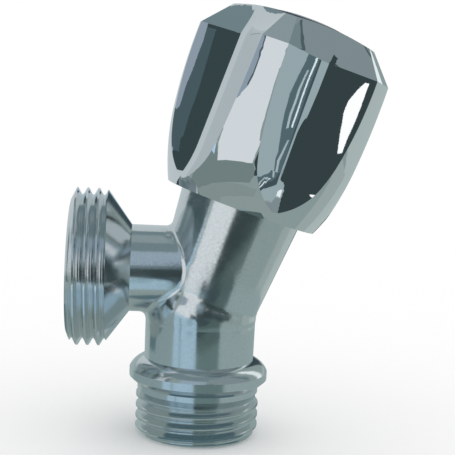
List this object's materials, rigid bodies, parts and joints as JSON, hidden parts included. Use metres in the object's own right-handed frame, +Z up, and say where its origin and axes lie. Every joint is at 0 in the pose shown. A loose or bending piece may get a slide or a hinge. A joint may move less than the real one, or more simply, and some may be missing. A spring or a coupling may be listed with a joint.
{
  "type": "washing machine valve",
  "caption": "Angle valve with a threaded inlet, a threaded hose outlet to the side and a slanted fluted knob that lifts a rubber washer off its seat.",
  "frame": {"origin": "centre of the inlet's end face, on the inlet axis", "axes": "+Z up the inlet axis, -X out along the outlet axis; the headwork and knob lean towards +X in the XZ plane"},
  "size_m": [0.0509, 0.0336, 0.0728],
  "materials": {
    "body_chrome": "polished chrome over a cast brass body, faintly uneven",
    "knob_chrome": "bright polished chrome",
    "bare_brass": "machined, satin",
    "spring_steel": "satin",
    "screw_steel": "zinc plated, satin",
    "black_rubber": "matte",
    "gasket_fibre": "matte pressed fibre",
    "white_plastic": "moulded, matte",
    "cap_plastic": "moulded, satin grey"
  },
  "bodies": {
    "valve": {"valve_body": "body_chrome", "headwork_gasket": "gasket_fibre", "headwork_body": "bare_brass"},
    "knob": {"knob": "knob_chrome", "knob_insert": "white_plastic", "knob_screw_washer": "screw_steel", "knob_screw": "screw_steel", "knob_cap": "cap_plastic", "spindle": "bare_brass", "spindle_o_ring_lower": "black_rubber", "spindle_o_ring_upper": "black_rubber", "spindle_slip_washer": "white_plastic", "spindle_circlip": "spring_steel"},
    "disc": {"disc_carrier": "bare_brass", "disc_carrier_o_ring": "black_rubber", "seat_washer": "black_rubber", "seat_washer_plate": "bare_brass", "seat_washer_nut": "bare_brass"}
  },
  "joints": [
    {"name": "knob_turn", "type": "hinge", "parent": "valve", "child": "knob", "pos_m": [0, 0, 0.0207], "axis": [0.3057, 0, 0.9521], "range_deg": [0, 1080]},
    {"name": "disc_lift", "type": "slide", "parent": "valve", "child": "disc", "axis": [0.3057, 0, 0.9521], "range_m": [0, 0.0054]}
  ],
  "couplings": [
    {"joint": "disc_lift", "follows": "knob_turn", "m_per_rad": 0.00028648}
  ]
}
